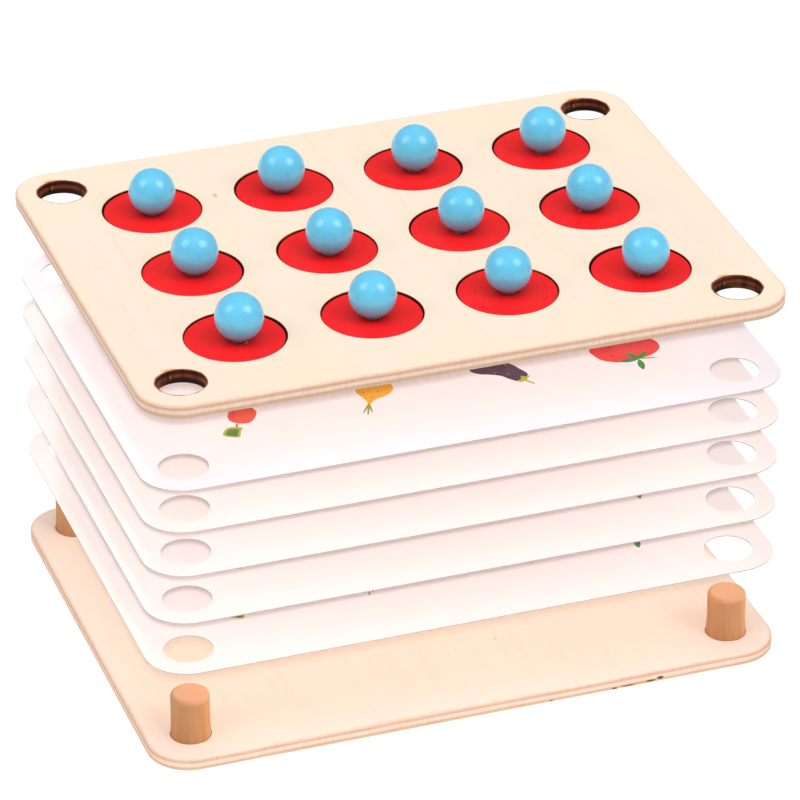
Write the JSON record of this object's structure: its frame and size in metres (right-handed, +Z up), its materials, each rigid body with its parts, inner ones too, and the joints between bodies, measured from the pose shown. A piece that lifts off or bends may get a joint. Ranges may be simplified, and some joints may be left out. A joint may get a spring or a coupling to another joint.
{
  "type": "wooden picture matching memory game",
  "caption": "Table memory game: a board with corner pegs, picture cards with corner holes, and a top board whose round windows are filled by discs with ball grips.",
  "frame": {"origin": "under the middle of the base board, on the surface that the game stands on", "axes": "+X along the boards' long side, to the right as the picture side is read from the front row of windows; +Y from the front row to the back row; +Z up"},
  "size_m": [0.229, 0.176, 0.1585],
  "materials": {
    "ply": "sanded pale birch plywood with a clear matt coat, laser-cut edges",
    "peg_wood": "sanded hardwood dowel, clear satin coat",
    "card_stock": "smooth white card with printed pictures, silk varnish",
    "red_paint": "red satin paint on plywood, with laser-cut edges",
    "blue_lacquer": "sky blue gloss lacquer on a turned bead"
  },
  "bodies": {
    "base": {"base_board": "ply", "peg_front_left": "peg_wood", "peg_front_right": "peg_wood", "peg_back_left": "peg_wood", "peg_back_right": "peg_wood"},
    "card_1": {"card_1": "card_stock"},
    "card_2": {"card_2": "card_stock"},
    "card_3": {"card_3": "card_stock"},
    "card_4": {"card_4": "card_stock"},
    "card_5": {"card_5": "card_stock"},
    "top_board": {"top_board": "ply"},
    "knob_r1c1": {"disc_r1c1": "red_paint", "ball_r1c1": "blue_lacquer"},
    "knob_r1c2": {"disc_r1c2": "red_paint", "ball_r1c2": "blue_lacquer"},
    "knob_r1c3": {"disc_r1c3": "red_paint", "ball_r1c3": "blue_lacquer"},
    "knob_r1c4": {"disc_r1c4": "red_paint", "ball_r1c4": "blue_lacquer"},
    "knob_r2c1": {"disc_r2c1": "red_paint", "ball_r2c1": "blue_lacquer"},
    "knob_r2c2": {"disc_r2c2": "red_paint", "ball_r2c2": "blue_lacquer"},
    "knob_r2c3": {"disc_r2c3": "red_paint", "ball_r2c3": "blue_lacquer"},
    "knob_r2c4": {"disc_r2c4": "red_paint", "ball_r2c4": "blue_lacquer"},
    "knob_r3c1": {"disc_r3c1": "red_paint", "ball_r3c1": "blue_lacquer"},
    "knob_r3c2": {"disc_r3c2": "red_paint", "ball_r3c2": "blue_lacquer"},
    "knob_r3c3": {"disc_r3c3": "red_paint", "ball_r3c3": "blue_lacquer"},
    "knob_r3c4": {"disc_r3c4": "red_paint", "ball_r3c4": "blue_lacquer"}
  },
  "joints": [
    {"name": "card_1_lift", "type": "slide", "parent": "base", "child": "card_1", "axis": [0, 0, 1], "range_m": [-0.0335, 0]},
    {"name": "card_2_lift", "type": "slide", "parent": "card_1", "child": "card_2", "axis": [0, 0, 1], "range_m": [-0.0195, 0]},
    {"name": "card_3_lift", "type": "slide", "parent": "card_2", "child": "card_3", "axis": [0, 0, 1], "range_m": [-0.018, 0]},
    {"name": "card_4_lift", "type": "slide", "parent": "card_3", "child": "card_4", "axis": [0, 0, 1], "range_m": [-0.0165, 0]},
    {"name": "card_5_lift", "type": "slide", "parent": "card_4", "child": "card_5", "axis": [0, 0, 1], "range_m": [-0.0155, 0]},
    {"name": "board_lift", "type": "slide", "parent": "card_5", "child": "top_board", "axis": [0, 0, 1], "range_m": [-0.027, 0]},
    {"name": "knob_r1c1_lift", "type": "slide", "parent": "top_board", "child": "knob_r1c1", "axis": [0, 0, 1], "range_m": [0, 0.03]},
    {"name": "knob_r1c2_lift", "type": "slide", "parent": "top_board", "child": "knob_r1c2", "axis": [0, 0, 1], "range_m": [0, 0.03]},
    {"name": "knob_r1c3_lift", "type": "slide", "parent": "top_board", "child": "knob_r1c3", "axis": [0, 0, 1], "range_m": [0, 0.03]},
    {"name": "knob_r1c4_lift", "type": "slide", "parent": "top_board", "child": "knob_r1c4", "axis": [0, 0, 1], "range_m": [0, 0.03]},
    {"name": "knob_r2c1_lift", "type": "slide", "parent": "top_board", "child": "knob_r2c1", "axis": [0, 0, 1], "range_m": [0, 0.03]},
    {"name": "knob_r2c2_lift", "type": "slide", "parent": "top_board", "child": "knob_r2c2", "axis": [0, 0, 1], "range_m": [0, 0.03]},
    {"name": "knob_r2c3_lift", "type": "slide", "parent": "top_board", "child": "knob_r2c3", "axis": [0, 0, 1], "range_m": [0, 0.03]},
    {"name": "knob_r2c4_lift", "type": "slide", "parent": "top_board", "child": "knob_r2c4", "axis": [0, 0, 1], "range_m": [0, 0.03]},
    {"name": "knob_r3c1_lift", "type": "slide", "parent": "top_board", "child": "knob_r3c1", "axis": [0, 0, 1], "range_m": [0, 0.03]},
    {"name": "knob_r3c2_lift", "type": "slide", "parent": "top_board", "child": "knob_r3c2", "axis": [0, 0, 1], "range_m": [0, 0.03]},
    {"name": "knob_r3c3_lift", "type": "slide", "parent": "top_board", "child": "knob_r3c3", "axis": [0, 0, 1], "range_m": [0, 0.03]},
    {"name": "knob_r3c4_lift", "type": "slide", "parent": "top_board", "child": "knob_r3c4", "axis": [0, 0, 1], "range_m": [0, 0.03]}
  ]
}
